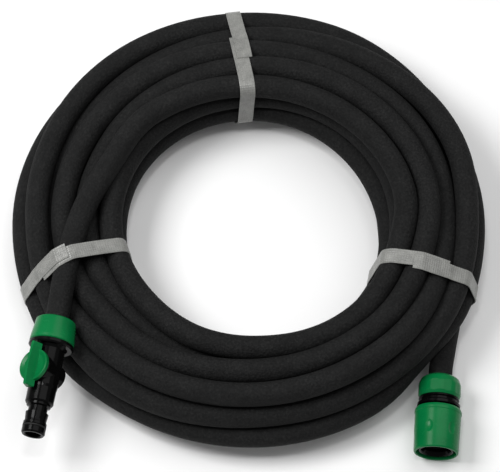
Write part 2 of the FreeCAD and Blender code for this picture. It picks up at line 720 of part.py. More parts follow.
def valve_seats():
    """Two plastic rings with hollow faces that the ball turns against."""
    for label, start in (("valve_seat_rear", "chamber_start"), ("valve_seat_front", None)):
        if start is None:
            start = "housing_end - 2.2 - seat_depth"
        ring = turned(label + "_ring", [
            ("flow_bore_radius + 0.2", start),
            ("chamber_radius", start),
            ("chamber_radius", "%s + seat_depth" % start),
            ("flow_bore_radius + 0.2", "%s + seat_depth" % start),
        ])
        hollow = ball(label + "_hollow", "ball_radius + ball_play", "ball_station")
        subpart(label, cut(label, ring, hollow), fitting_placement("valve"))


def valve_ball():
    sphere = ball("ball_solid", "ball_radius", "ball_station")
    water_way = cylinder(
        "ball_water_way", "flow_bore_radius", "2 * ball_radius + 2", (0, 0, "ball_station - ball_radius - 1"))
    flat = cylinder("ball_flat", "stem_radius + 0.4", "5", ("stem_foot", 0, "ball_station"), "x")
    slot = block("ball_slot", ("5", "2.2", "20"), ("stem_foot - 2.0", "-1.1", "ball_station - 10"))
    result = cut("valve_ball", sphere, fused("ball_hollows", [water_way, flat, slot]))
    subpart("valve_ball", result, fitting_placement("valve"))


def valve_stem():
    """A round stem with a tongue in the ball's slot, a seal groove, and a square drive on top."""
    shaft = cylinder(
        "stem_shaft", "stem_radius", "handle_foot - stem_foot", ("stem_foot", 0, "ball_station"), "x")
    tongue = block("stem_tongue", ("2.6", "2.0", "7.0"), ("stem_foot - 1.9", "-1.0", "ball_station - 3.5"))
    drive = block("stem_drive", ("2.6", "4.6", "4.6"), ("handle_foot - 0.6", "-2.3", "ball_station - 2.3"))
    solid = fused("stem_solid", [shaft, tongue, drive])
    groove_outer = cylinder(
        "stem_groove_outer", "stem_radius + 1", "1.2", ("stem_foot + 2.2", 0, "ball_station"), "x")
    groove_core = cylinder(
        "stem_groove_core", "stem_radius - 1", "1.2", ("stem_foot + 2.2", 0, "ball_station"), "x")
    groove = cut("stem_groove", groove_outer, groove_core)
    subpart("valve_stem", cut("valve_stem", solid, groove), fitting_placement("valve"))


def handle_bar():
    """The raised bar along the flow: narrower at its top, and arched along its length."""
    body = doc.addObject("PartDesign::Body", "handle_bar")
    outline = [
        ("handle_bar_width / 2", "handle_foot + 1.5"),
        ("handle_crest_width / 2", "handle_top"),
        ("-handle_crest_width / 2", "handle_top"),
        ("-handle_bar_width / 2", "handle_foot + 1.5"),
    ]
    sketch = closed_sketch(body, "handle_bar_section", outline, "YZ_Plane")
    pad = body.newObject("PartDesign::Pad", "handle_bar_pad")
    pad.Profile = sketch
    pad.Midplane = True
    pad.Length = size("2 * handle_half_length")
    bind(pad, Length="2 * handle_half_length")
    doc.recompute()
    fillet = body.newObject("PartDesign::Fillet", "handle_bar_round")
    upright = []
    for number, edge in enumerate(pad.Shape.Edges, start=1):
        start, end = edge.Vertexes[0].Point, edge.Vertexes[-1].Point
        if abs(start.z - end.z) > 1.0:
            upright.append("Edge%d" % number)
    fillet.Base = (pad, upright)
    fillet.Radius = size("handle_end_rounding")
    bind(fillet, Radius="handle_end_rounding")
    doc.recompute()
    return body


def valve_handle():
    disc = turned("handle_disc", [
        ("0", "handle_foot"),
        ("handle_radius - 0.8", "handle_foot"),
        ("handle_radius", "handle_foot + 0.8"),
        ("handle_radius", "handle_foot + 3.0"),
        ("handle_radius - 0.7", "handle_foot + 3.6"),
        ("handle_radius - 3.4", "handle_foot + 2.6"),
        ("0", "handle_foot + 2.0"),
    ])
    rim = [("handle_radius - 0.7", "handle_foot + 3.6"), ("handle_radius", "handle_foot + 3.0")]
    round_rings(disc, "0.5", rim)
    arch_corner = (0, "-20", "handle_top - handle_arch_radius")
    arch = cylinder("handle_arch", "handle_arch_radius", "40", arch_corner, "y")
    bar = common("handle_bar_arched", handle_bar(), arch)
    solid = fused("handle_solid", [disc, bar])
    drive = block("handle_drive", ("4.6", "4.6", "2.2"), ("-2.3", "-2.3", "handle_foot - 0.2"))
    result = cut("valve_handle", solid, drive)
    # The handle is drawn standing on its own foot, and here it is laid on the stem's axis.
    lay = FreeCAD.Placement(
        FreeCAD.Vector(0, 0, size("ball_station")),
        FreeCAD.Rotation(FreeCAD.Vector(0, 1, 0), 90))
    subpart("valve_handle", result, fitting_placement("valve").multiply(lay))


def build():
    build_coil()
    hose_end("hose_valve_end", "valve", VALVE_END_ROUTE)
    hose_end("hose_connector_end", "connector", CONNECTOR_END_ROUTE)
    connector_nut()
    gripping_ring("connector_gripper", "connector", "2.7", "connector_grip_end")
    connector_body()
    connector_mouth_ring()
    connector_latches()
    connector_sleeve()
    connector_spring()
    valve_nut()
    gripping_ring("valve_gripper", "valve", "3.3", "valve_grip_end")
    valve_body()
    valve_spigot()
    valve_seats()
    valve_ball()
    valve_stem()
    valve_handle()
    on_nose = FreeCAD.Placement(FreeCAD.Vector(0, 0, size("spigot_end - 5.6")), FreeCAD.Rotation())
    seal_ring("spigot_oring", "spigot_radius - 0.65", "0.75", fitting_placement("valve").multiply(on_nose))
    on_stem = FreeCAD.Placement(
        FreeCAD.Vector(size("stem_foot + 2.8"), 0, size("ball_station")),
        FreeCAD.Rotation(FreeCAD.Vector(0, 1, 0), 90))
    seal_ring("valve_stem_seal", "stem_radius - 0.49", "0.5", fitting_placement("valve").multiply(on_stem))


def check_and_write():
    for feature in doc.Objects:
        if "Invalid" in feature.State or "Error" in feature.State:
            raise RuntimeError("%s failed: %s" % (feature.Label, feature.State))
    for label, feature in SUBPARTS.items():
        if feature.Shape.isNull() or not feature.Shape.isValid():
            raise RuntimeError("%s has no valid shape" % label)
    os.makedirs("parts", exist_ok=True)
    whole = FreeCAD.BoundBox()
    for label, feature in SUBPARTS.items():
        feature.Shape.exportStep("parts/%s.step" % label)
        whole.add(feature.Shape.optimalBoundingBox(False))
        print("%-20s %2d solid(s) %12.1f mm3" % (label, len(feature.Shape.Solids), feature.Shape.Volume))
    print("whole part: X %.2f to %.2f, Y %.2f to %.2f, Z %.2f to %.2f"
          % (whole.XMin, whole.XMax, whole.YMin, whole.YMax, whole.ZMin, whole.ZMax))


build()
doc.recompute()
check_and_write()
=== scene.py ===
import json
import math

import bpy
import numpy as np
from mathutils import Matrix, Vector


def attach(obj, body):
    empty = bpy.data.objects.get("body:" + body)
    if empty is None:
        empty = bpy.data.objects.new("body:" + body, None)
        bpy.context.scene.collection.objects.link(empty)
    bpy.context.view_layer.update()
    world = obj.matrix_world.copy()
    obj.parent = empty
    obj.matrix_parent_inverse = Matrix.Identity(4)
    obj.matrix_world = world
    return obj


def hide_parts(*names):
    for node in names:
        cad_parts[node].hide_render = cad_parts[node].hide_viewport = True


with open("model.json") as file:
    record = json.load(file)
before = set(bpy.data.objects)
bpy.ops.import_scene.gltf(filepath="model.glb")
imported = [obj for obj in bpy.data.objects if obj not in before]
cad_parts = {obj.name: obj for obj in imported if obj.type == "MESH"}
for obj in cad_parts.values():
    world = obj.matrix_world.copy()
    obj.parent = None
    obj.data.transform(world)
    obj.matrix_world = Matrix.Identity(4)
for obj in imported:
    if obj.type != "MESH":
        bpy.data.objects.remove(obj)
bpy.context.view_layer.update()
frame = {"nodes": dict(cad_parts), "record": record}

MM = 0.001
HOSE_DIAMETER = 0.017
COIL_CENTRE = (0.0040, -0.00385)
COIL_HEIGHT = 0.066
COIL_SURFACE = 0.0007     # the bands' thickness lifts the lowest turns this far
POINTS_PER_TURN = 24
TURN_STEP = 360.0 / POINTS_PER_TURN
WINDING_START = -40.0     # each pass round the coil is counted from this azimuth
PASSES = 15
COIL_BEGINS = 4.6         # the azimuths at which the connector's and the valve's ends leave the turns
COIL_ENDS = 159.3
ROOM_AT_ENDS = 0.7        # steps of the winding left free there, for the hose to bend over
INNER_RADIUS = 0.1021     # the middle of the innermost turns, and how far from round the coil is
OVALNESS = 0.0011

# Where each pass crosses the coil's section at five azimuths, from the first laid to the last.
# A pair is how far out and how high, in hose diameters, from the coil's inner wall and the floor.
SECTIONS = [
    (341.0, [(3.19, 0.5), (2.15, 0.5), (1.13, 0.5), (0.1, 0.5), (0.15, 1.4), (0.75, 1.36), (1.62, 1.4),
             (1.15, 2.25), (2.6, 1.35), (3.24, 1.55), (2.97, 2.55), (2.12, 2.85), (1.3, 3.2), (0.2, 2.25),
             (0.2, 3.2)]),
    (5.0, [(2.82, 0.5), (1.85, 0.5), (0.9, 0.5), (0.0, 0.5), (-0.05, 1.4), (0.75, 1.36), (1.7, 1.4),
           (1.4, 2.2), (2.75, 1.4), (3.45, 1.8), (3.1, 2.75), (2.25, 2.45), (1.55, 3.15), (0.4, 2.35),
           (0.58, 3.3)]),
    (93.0, [(3.45, 0.5), (2.45, 0.5), (1.45, 0.5), (0.45, 0.5), (-0.03, 1.4), (0.95, 1.36), (1.9, 2.0),
            (2.85, 1.4), (3.9, 1.25), (3.84, 2.2), (2.92, 2.53), (2.02, 2.96), (1.05, 3.23), (0.08, 2.37),
            (0.05, 3.37)]),
    (196.0, [(3.73, 0.5), (2.6, 0.5), (1.45, 0.5), (0.35, 0.5), (0.1, 1.36), (0.95, 1.36), (0.95, 1.8),
             (1.75, 1.36), (3.78, 1.55), (3.13, 2.3), (2.75, 1.45), (2.1, 2.45), (1.15, 2.45), (0.13, 2.5),
             (1.6, 3.3)]),
    (270.0, [(2.65, 0.5), (1.65, 0.5), (0.65, 0.5), (-0.3, 0.5), (0.0, 1.4), (0.98, 1.35), (1.48, 2.1),
             (1.98, 1.35), (3.1, 1.27), (2.5, 2.13), (1.9, 3.0), (0.95, 3.15), (0.45, 2.25), (0.0, 3.25),
             (2.9, 2.9)]),
]

# Between those sections, where the passes that show lie: by azimuth, then by pass.
VISIBLE_PLACES = [
    (15.0, {10: (3.4, 2.75)}),
    (30.0, {4: (-0.2, 1.4), 8: (2.75, 1.2), 9: (3.62, 1.85), 10: (3.52, 2.75), 11: (2.42, 2.5),
            12: (1.45, 3.15), 13: (0.3, 2.35), 14: (0.35, 3.35)}),
    (60.0, {4: (-0.15, 1.4), 8: (3.5, 1.2), 9: (3.82, 2.1), 10: (3.15, 2.7), 11: (2.12, 2.75),
            12: (1.17, 3.25), 13: (0.17, 2.37), 14: (0.08, 3.37)}),
    (135.0, {4: (0.13, 1.38), 8: (4.12, 1.3), 9: (3.93, 2.3), 10: (3.0, 1.9), 11: (2.28, 2.8),
             12: (1.33, 2.75), 13: (0.2, 2.5), 14: (0.5, 3.4)}),
    (165.0, {4: (0.17, 1.36), 8: (4.17, 1.3), 9: (3.58, 2.25), 11: (2.35, 2.55), 12: (1.35, 2.4),
             13: (0.28, 2.72), 14: (1.23, 3.35)}),
    (203.0, {8: (3.66, 1.2), 9: (3.1, 1.95)}),
    (210.0, {0: (2.75, 0.5), 1: (1.75, 0.5), 8: (3.55, 1.0), 9: (2.98, 1.66)}),
    (217.0, {8: (3.4, 1.0), 9: (2.98, 1.75)}),
    (225.0, {0: (2.6, 0.5), 1: (1.6, 0.5), 4: (0.05, 1.4), 6: (1.4, 2.0), 8: (3.2, 1.1), 9: (3.28, 2.0),
             10: (2.63, 2.7), 11: (1.65, 2.6), 12: (0.7, 2.25), 13: (-0.03, 2.98)}),
    (240.0, {10: (2.25, 2.9), 11: (1.26, 2.85), 12: (0.5, 2.15), 13: (0.05, 3.2)}),
    (300.0, {4: (0.0, 1.4), 9: (2.58, 2.17), 10: (1.98, 3.15), 11: (0.94, 3.0), 12: (0.85, 2.0),
             13: (0.02, 2.75)}),
    (315.0, {9: (2.75, 2.2), 10: (2.12, 3.1), 11: (1.17, 3.1), 12: (0.95, 2.05), 13: (0.22, 2.85)}),
    (330.0, {4: (0.1, 1.4), 9: (3.22, 1.5), 10: (2.95, 2.3), 11: (2.38, 2.9), 12: (1.5, 3.2),
             14: (0.33, 3.05)}),
]

# How firmly each pass keeps its place where two would cut into each other: the buried ones give way.
BURIED = 0.1
FIRMNESS = [0.2, 0.2, 0.2, 1.0, 2.0, BURIED, BURIED, BURIED, 1.0, 2.0, 2.0, 2.0, 1.0, 1.0, 4.0]
SETTLING_ROUNDS = 60
UNSMOOTHED_ROUNDS = 12    # the last rounds push the passes apart and no longer smooth them
PULL_BACK = 0.15          # share of the way that a pass is drawn back to its own place in each round
SMOOTHING = 0.25
LOWEST_PLACE = 0.5        # limits of a pass's place in the section, in hose diameters
HIGHEST_PLACE = 3.4
INNERMOST_PLACE = -0.35
INNERMOST_BURIED_PLACE = 0.4

CONNECTOR_AT = (137.0, -115.0, 16.8)
CONNECTOR_TURN = 5.3
VALVE_AT = (-136.4, -83.8, 48.0)
VALVE_TURN = 8.8
CONNECTOR_END_ROUTE = [(152.5, 8.0, 8.7), (152.0, -28.0, 8.7), (147.6, -60.0, 9.4), (142.2, -85.0, 13.6)]
VALVE_END_ROUTE = [(-101.5, 36.0, 56.5), (-119.0, 3.0, 56.9), (-128.3, -31.0, 55.6), (-132.4, -55.0, 51.2)]
CONNECTOR_DEPTH = 0.015   # how far the hose goes into each fitting, from the back of its nut
VALVE_DEPTH = 0.0166
STRAIGHT_ENTRY = 0.009    # the hose runs straight this far before it goes into a fitting's nut
FITTING_RADIUS = 0.0165   # the turns lie clear of a round bar of this size in each fitting's place
FITTING_LENGTH = 0.045
SPLINE_ORDER = 3
SPLINE_STEPS = 6
ROUND_STEPS = 8


def metres(point):
    return Vector(point) * MM


def inner_wall(azimuth):
    """The radius at which the innermost turns run: the coil is slightly oval."""
    return INNER_RADIUS + OVALNESS * math.cos(2 * math.radians(azimuth - 90))


def on_coil(azimuth, out, up):
    radius = inner_wall(azimuth) + out * HOSE_DIAMETER
    angle = math.radians(azimuth)
    return Vector((COIL_CENTRE[0] + radius * math.cos(angle), COIL_CENTRE[1] + radius * math.sin(angle),
                   up * HOSE_DIAMETER + COIL_SURFACE))


def winding_keys():
    """(angle wound, out, up) at each place that SECTIONS and VISIBLE_PLACES give."""
    keys = []
    everywhere = [(azimuth, dict(enumerate(places))) for azimuth, places in SECTIONS] + VISIBLE_PLACES
    for azimuth, places in everywhere:
        for turn, place in places.items():
            wound = 360.0 * turn + (azimuth - WINDING_START) % 360.0
            keys.append((wound, *place))
    return sorted(keys)


def smooth_between(keys, wound):
    """Cubic interpolation of (out, up), with the slope at each key that of its neighbours."""
    index = max(1, min(len(keys) - 3, sum(1 for key in keys if key[0] <= wound) - 1))
    before, start, end, after = keys[index - 1:index + 3]
    span = end[0] - start[0]
    along = (wound - start[0]) / span
    result = []
    for axis in (1, 2):
        slope_in = (end[axis] - before[axis]) / (end[0] - before[0]) * span
        slope_out = (after[axis] - start[axis]) / (after[0] - start[0]) * span
        a2, a3 = along ** 2, along ** 3
        result.append((2 * a3 - 3 * a2 + 1) * start[axis] + (a3 - 2 * a2 + along) * slope_in
                      + (3 * a2 - 2 * a3) * end[axis] + (a3 - a2) * slope_out)
    return result


def fitting_axis(at, turn, *aheads):
    """Points on a fitting's axis, each so far ahead of the back of its nut."""
    forward = Vector((-math.sin(math.radians(turn)), -math.cos(math.radians(turn)), 0.0))
    return [metres(at) + forward * ahead for ahead in aheads]


def keep_outs():
    """(start, end, radius) of what the turns lie clear of: the two hose ends and their fittings."""
    valve_start, valve_end = fitting_axis(VALVE_AT, VALVE_TURN, 0.0, FITTING_LENGTH)
    connector_start, connector_end = fitting_axis(CONNECTOR_AT, CONNECTOR_TURN, 0.0, FITTING_LENGTH)
    outs = [(valve_start, valve_end, FITTING_RADIUS), (connector_start, connector_end, FITTING_RADIUS)]
    for route, start in ((VALVE_END_ROUTE, valve_start), (CONNECTOR_END_ROUTE, connector_start)):
        places = [metres(point) for point in route] + [start]
        outs += [(a, b, HOSE_DIAMETER / 2) for a, b in zip(places, places[1:])]
    return outs


def pushed_clear(azimuth, place, outs):
    """A strand's (out, up), moved until it clears the hose ends and fittings."""
    for start, end, radius in outs:
        centre = on_coil(azimuth, *place)
        run = end - start
        share = max(0.0, min(1.0, (centre - start).dot(run) / run.length_squared))
        away = centre - (start + run * share)
        short = radius + HOSE_DIAMETER / 2 - away.length
        if short > 0:
            outward = Vector((math.cos(math.radians(azimuth)), math.sin(math.radians(azimuth)), 0.0))
            direction = away.normalized()
            place = (place[0] + short * direction.dot(outward) / HOSE_DIAMETER,
                     place[1] + short * direction.z / HOSE_DIAMETER)
    return place


def push_apart(strands, here, firm):
    """Every two strands of one section that are less than a hose's width apart, moved until they touch."""
    for number, first in enumerate(here):
        for second in here[number + 1:]:
            gap = strands[second] - strands[first]
            distance = max(1e-6, float(np.hypot(*gap)))
            if distance < 1.0:
                push = gap / distance * (1.0 - distance)
                share = firm[second] / (firm[first] + firm[second])
                strands[first] -= push * share
                strands[second] += push * (1 - share)


def settle(strands, fixed):
    """Strands that would cut into each other are pushed apart, and each is kept smooth along its length."""
    outs = keep_outs()
    total = len(strands)
    target = strands.copy()
    firm = np.array([FIRMNESS[index // POINTS_PER_TURN] for index in range(total)])
    innermost = np.where(firm == BURIED, INNERMOST_BURIED_PLACE, INNERMOST_PLACE)
    for step in range(SETTLING_ROUNDS):
        for slot in range(POINTS_PER_TURN):
            here = list(range(slot, total, POINTS_PER_TURN))
            push_apart(strands, here, firm)
            azimuth = WINDING_START + slot * TURN_STEP
            for index in here:
                if not fixed[index]:
                    strands[index] = pushed_clear(azimuth, tuple(strands[index]), outs)
        strands += (target - strands) * (PULL_BACK * np.minimum(1.0, firm))[:, None]
        strands[:, 1] = np.clip(strands[:, 1], LOWEST_PLACE, HIGHEST_PLACE)
        strands[:, 0] = np.maximum(strands[:, 0], innermost)
        if step < SETTLING_ROUNDS - UNSMOOTHED_ROUNDS:
            middle = (strands[:-2] + strands[2:]) / 2
            strands[1:-1] += SMOOTHING * (middle - strands[1:-1])
    return strands


def coil_strands():
    """The settled (out, up) at each step of the winding, and the steps at which the turns begin and end."""
    keys = winding_keys()
    wound = [index * TURN_STEP for index in range(PASSES * POINTS_PER_TURN)]
    strands = np.array([smooth_between(keys, max(keys[0][0], angle)) for angle in wound])
    first = (COIL_BEGINS - WINDING_START) / TURN_STEP
    last = ((PASSES - 1) * 360 + COIL_ENDS - WINDING_START) / TURN_STEP
    fixed = [index < first or index > last for index in range(len(wound))]
    return wound, settle(strands, fixed), first, last


def coil_points(wound, strands, first, last):
    """Control points of the turns. The spline runs inside its corners, so they lie that much further out."""
    reach = 1 / math.cos(math.radians(TURN_STEP / 2))
    points = []
    for index, angle in enumerate(wound):
        if first + ROOM_AT_ENDS < index < last - ROOM_AT_ENDS:
            point = on_coil(angle + WINDING_START, *strands[index])
            points.append(Vector((COIL_CENTRE[0] + (point.x - COIL_CENTRE[0]) * reach,
                                  COIL_CENTRE[1] + (point.y - COIL_CENTRE[1]) * reach, point.z)))
    return points


def nurbs(name, points):
    curve = bpy.data.curves.new(name, "CURVE")
    curve.dimensions = "3D"
    spline = curve.splines.new("NURBS")
    spline.points.add(len(points) - 1)
    for place, point in zip(spline.points, points):
        place.co = (*point, 1.0)
    spline.order_u = SPLINE_ORDER
    spline.use_endpoint_u = True
    spline.resolution_u = SPLINE_STEPS
    return curve


def hose_spline():
    """The whole hose in one run, from inside the connector, round the turns, to inside the valve."""
    wound, strands, first, last = coil_strands()
    points = fitting_axis(CONNECTOR_AT, CONNECTOR_TURN, CONNECTOR_DEPTH, -STRAIGHT_ENTRY / 2, -STRAIGHT_ENTRY)
    points += [metres(point) for point in reversed(CONNECTOR_END_ROUTE)]
    points += coil_points(wound, strands, first, last)
    points += [metres(point) for point in VALVE_END_ROUTE]
    points += fitting_axis(VALVE_AT, VALVE_TURN, -STRAIGHT_ENTRY, -STRAIGHT_ENTRY / 2, VALVE_DEPTH)
    return nurbs("soaker_hose", points)


# ---------------------------------------------------------------- the three bands

BAND_WIDTH = 0.0112
BAND_THICKNESS = 0.0006
BAND_STEP = 0.0005
BAND_COLUMNS = 24
BAND_GAP = 0.00005        # between the band and the hose, and between the band's two layers
EMBOSS_PITCH = 0.0017
EMBOSS_HEIGHT = 0.00013
EDGE_DROP = 0.00012       # the outer face drops this far over its outermost part on either side
EDGE_BEGINS = 0.92
OUTLINE_STEPS = 48        # points round each strand that the band's outline is drawn from
TANGENT_REACH = 0.0008    # how far before and after a place its direction is taken from
LIFT_RUN = 0.005          # the upper end rises onto the lower one in this length
SKEW_RUN = 0.055          # each end swings to its own side in this length
# Where each band crosses the turns and which way it runs over them, as in the CAD model; where its
# two ends are welded together, along that line; how long the weld is; how far each end is to its side
# there; and how far along the hose the band's underside lies from its top.
BANDS = {
    "strap_rear": {"at": (-3.9, 117.4), "runs": 97.5, "weld_at": 0.0145, "weld": 0.023, "skew": 0.0015,
                   "lean": 0.004},
    "strap_left": {"at": (-129.3, -36.9), "runs": 199.2, "weld_at": 0.0115, "weld": 0.026, "skew": 0.0016,
                   "lean": 0.009},
    "strap_right": {"at": (127.0, -44.8), "runs": 348.9, "weld_at": 0.0032, "weld": 0.027, "skew": 0.0016,
                    "lean": -0.005},
}
BAND_REACH = 0.070        # no part of a bundle is further than this from the place that a band crosses


def fine_line(curve):
    """Points read from the hose's own spline, before it is given its thickness."""
    route = bpy.data.objects.new("route", curve)
    mesh = bpy.data.meshes.new_from_object(route)
    line = [vertex.co.copy() for vertex in mesh.vertices]
    bpy.data.objects.remove(route)
    bpy.data.meshes.remove(mesh)
    return line


def band_plane(band):
    """A point on the floor under the band, the direction it runs in and the hose's direction there."""
    along = Vector((math.cos(math.radians(band["runs"])), math.sin(math.radians(band["runs"])), 0.0))
    return metres((*band["at"], 0.0)), along, Vector((-along.y, along.x, 0.0))


def band_slant(band, height):
    """How far along the hose a leaning band has moved at this height."""
    return band["lean"] * (1 - height / COIL_HEIGHT)


def strands_through(line, band):
    """Where the hose passes under the band's middle and edges: (distance along it, height) pairs."""
    origin, along, across = band_plane(band)
    found = []
    sides = [(point - origin).dot(across) - band_slant(band, point.z) for point in line]
    for edge in (-BAND_WIDTH / 2, 0.0, BAND_WIDTH / 2):
        for start, end, before, after in zip(line, line[1:], sides, sides[1:]):
            if (before - edge) * (after - edge) <= 0 and before != after:
                place = start.lerp(end, (edge - before) / (after - before))
                distance = (place - origin).dot(along)
                if abs(distance) < BAND_REACH:
                    found.append((distance, place.z))
    return found


def hull(points):
    """The convex outline round some (x, y) points, counter-clockwise."""
    points = sorted(set(points))
    sides = []
    for run in (points, points[::-1]):
        side = []
        for point in run:
            while len(side) > 1 and ((side[-1][0] - side[-2][0]) * (point[1] - side[-2][1])
                                     - (side[-1][1] - side[-2][1]) * (point[0] - side[-2][0])) <= 0:
                side.pop()
            side.append(point)
        sides += side[:-1]
    return np.array(sides)


def tight_outline(strands):
    """The closed line of a band pulled tight round the strands, as points and distances along it."""
    radius = HOSE_DIAMETER / 2 + BAND_GAP + BAND_THICKNESS / 2
    angles = np.linspace(0.0, 2 * math.pi, OUTLINE_STEPS, endpoint=False)
    lowest = BAND_GAP + BAND_THICKNESS / 2 + EMBOSS_HEIGHT
    rim = [(float(x + radius * math.cos(angle)), max(lowest, float(z + radius * math.sin(angle))))
           for x, z in strands for angle in angles]
    outline = hull(rim)
    outline = np.vstack([outline, outline[:1]])
    lengths = np.concatenate([[0.0], np.cumsum(np.hypot(*np.diff(outline, axis=0).T))])
    return outline, lengths


def eased(value):
    value = max(0.0, min(1.0, value))
    return value * value * (3 - 2 * value)


def embossed(along, across):
    """The rolled diamond pattern's height on the band's outer face."""
    turn = 2 * math.pi / EMBOSS_PITCH
    return EMBOSS_HEIGHT * math.sin(turn * (along + across) / 2) * math.sin(turn * (along - across) / 2)


def weld_travel(band, outline, lengths):
    """How far along the outline the weld's middle is, on the upper side."""
    height = outline[:, 1].max()
    travels = np.arange(0.0, lengths[-1], BAND_STEP)
    outs = np.interp(travels, lengths, outline[:, 0])
    highs = np.interp(travels, lengths, outline[:, 1])
    return travels[np.where(highs > height / 2, abs(outs - band["weld_at"]), 1.0).argmin()]


def outline_at(outline, lengths, travel):
    return [float(np.interp(travel % lengths[-1], lengths, outline[:, axis])) for axis in (0, 1)]


def band_ring(middle, across, outward, travel):
    """The vertices across the band at one place: the embossed outer face, then the inner face's edges."""
    vertices = []
    for column in range(BAND_COLUMNS + 1):
        side = BAND_WIDTH * (column / BAND_COLUMNS - 0.5)
        past_edge = max(0.0, abs(2 * side / BAND_WIDTH) - EDGE_BEGINS)
        rounding = EDGE_DROP * past_edge / (1 - EDGE_BEGINS)
        rise = BAND_THICKNESS / 2 - rounding + embossed(travel, side)
        vertices.append(middle + across * side + outward * rise)
    for side in (-BAND_WIDTH / 2, BAND_WIDTH / 2):
        vertices.append(middle + across * side - outward * BAND_THICKNESS / 2)
    return vertices


def band_faces(rows):
    """Faces of the closed strip that the rings make, with a cap at each end."""
    ring = BAND_COLUMNS + 3
    around = list(range(BAND_COLUMNS + 1)) + [BAND_COLUMNS + 2, BAND_COLUMNS + 1]
    faces = []
    for row in range(rows):
        base = row * ring
        for first, second in zip(around, around[1:] + around[:1]):
            faces.append((base + first, base + second, base + ring + second, base + ring + first))
    faces.append(around[::-1])
    faces.append([rows * ring + index for index in around])
    return faces


def band_mesh(name, band, line):
    """A band pulled tight round the turns, whose two ends overlap where they are welded."""
    outline, lengths = tight_outline(strands_through(line, band))
    origin, along, across = band_plane(band)
    whole = lengths[-1]
    weld = weld_travel(band, outline, lengths)
    start, end = -band["weld"] / 2, whole + band["weld"] / 2
    rows = int((end - start) / BAND_STEP)
    vertices = []
    for row in range(rows + 1):
        travel = start + (end - start) * row / rows
        place = outline_at(outline, lengths, travel + weld)
        ahead = outline_at(outline, lengths, travel + weld + TANGENT_REACH)
        behind = outline_at(outline, lengths, travel + weld - TANGENT_REACH)
        run = Vector((ahead[0] - behind[0], ahead[1] - behind[1])).normalized()
        outward = along * run.y - Vector((0.0, 0.0, run.x))
        risen = eased((travel - whole + band["weld"] / 2 + LIFT_RUN) / LIFT_RUN)
        lift = (BAND_THICKNESS + BAND_GAP) * risen
        slip = band["skew"] * (eased(1 - (travel - start) / SKEW_RUN) - eased(1 - (end - travel) / SKEW_RUN))
        slip += band_slant(band, place[1])
        middle = origin + along * place[0] + Vector((0.0, 0.0, place[1])) + outward * lift + across * slip
        vertices += band_ring(middle, across, outward, travel)
    mesh = bpy.data.meshes.new(name)
    mesh.from_pydata(vertices, [], band_faces(rows))
    mesh.update()
    return mesh


def add_bands(line, material):
    for node, band in BANDS.items():
        name = node.replace("strap", "band")
        mesh = band_mesh(name, band, line)
        mesh.materials.append(material)
        piece = bpy.data.objects.new(name, mesh)
        bpy.context.scene.collection.objects.link(piece)
        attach(piece, "root")
        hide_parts(node)


# ---------------------------------------------------------------- materials


class Look:
    """A material under construction: its Principled shader, and nodes that read the piece's own place."""

    def __init__(self, name, colour, roughness, specular=0.5):
        self.material = bpy.data.materials.new(name)
        self.material.use_nodes = True
        self.tree = self.material.node_tree
        self.shader = self.tree.nodes["Principled BSDF"]
        self.shader.inputs["Base Color"].default_value = (*colour, 1.0)
        self.shader.inputs["Roughness"].default_value = roughness
        self.shader.inputs["Specular IOR Level"].default_value = specular
        self.place = self.tree.nodes.new("ShaderNodeTexCoord").outputs["Object"]

    def join(self, output, node, socket):
        self.tree.links.new(output, node.inputs[socket])

    def noise(self, scale, detail=3.0, roughness=0.55):
        node = self.tree.nodes.new("ShaderNodeTexNoise")
        node.inputs["Scale"].default_value = scale
        node.inputs["Detail"].default_value = detail
        node.inputs["Roughness"].default_value = roughness
        self.join(self.place, node, "Vector")
        return node.outputs["Fac"]

    def cells(self, scale):
        node = self.tree.nodes.new("ShaderNodeTexVoronoi")
        node.inputs["Scale"].default_value = scale
        self.join(self.place, node, "Vector")
        return node.outputs["Distance"]

    def ramp(self, source, stops):
        node = self.tree.nodes.new("ShaderNodeValToRGB")
        elements = node.color_ramp.elements
        while len(elements) < len(stops):
            elements.new(0.5)
        for element, (position, value) in zip(elements, stops):
            element.position = position
            element.color = (*value, 1.0) if isinstance(value, tuple) else (value, value, value, 1.0)
        self.join(source, node, "Fac")
        return node.outputs["Color"]

    def darken(self, first, second, share):
        """One colour output multiplied by another, as far as the share says."""
        node = self.tree.nodes.new("ShaderNodeMix")
        node.data_type = "RGBA"
        node.blend_type = "MULTIPLY"
        self.join(first, node, 6)
        self.join(second, node, 7)
        node.inputs[0].default_value = share
        return node.outputs[2]

    def colour(self, output):
        self.join(output, self.shader, "Base Color")

    def rough(self, source, low, high):
        node = self.tree.nodes.new("ShaderNodeMapRange")
        node.inputs["To Min"].default_value = low
        node.inputs["To Max"].default_value = high
        self.join(source, node, "Value")
        self.join(node.outputs["Result"], self.shader, "Roughness")

    def relief(self, heights):
        """Bumps on bumps: each is a height output, its strength and its depth in metres."""
        before = None
        for height, strength, depth in heights:
            node = self.tree.nodes.new("ShaderNodeBump")
            node.inputs["Strength"].default_value = strength
            node.inputs["Distance"].default_value = depth
            self.join(height, node, "Height")
            if before is not None:
                self.join(before, node, "Normal")
            before = node.outputs["Normal"]
        self.join(before, self.shader, "Normal")


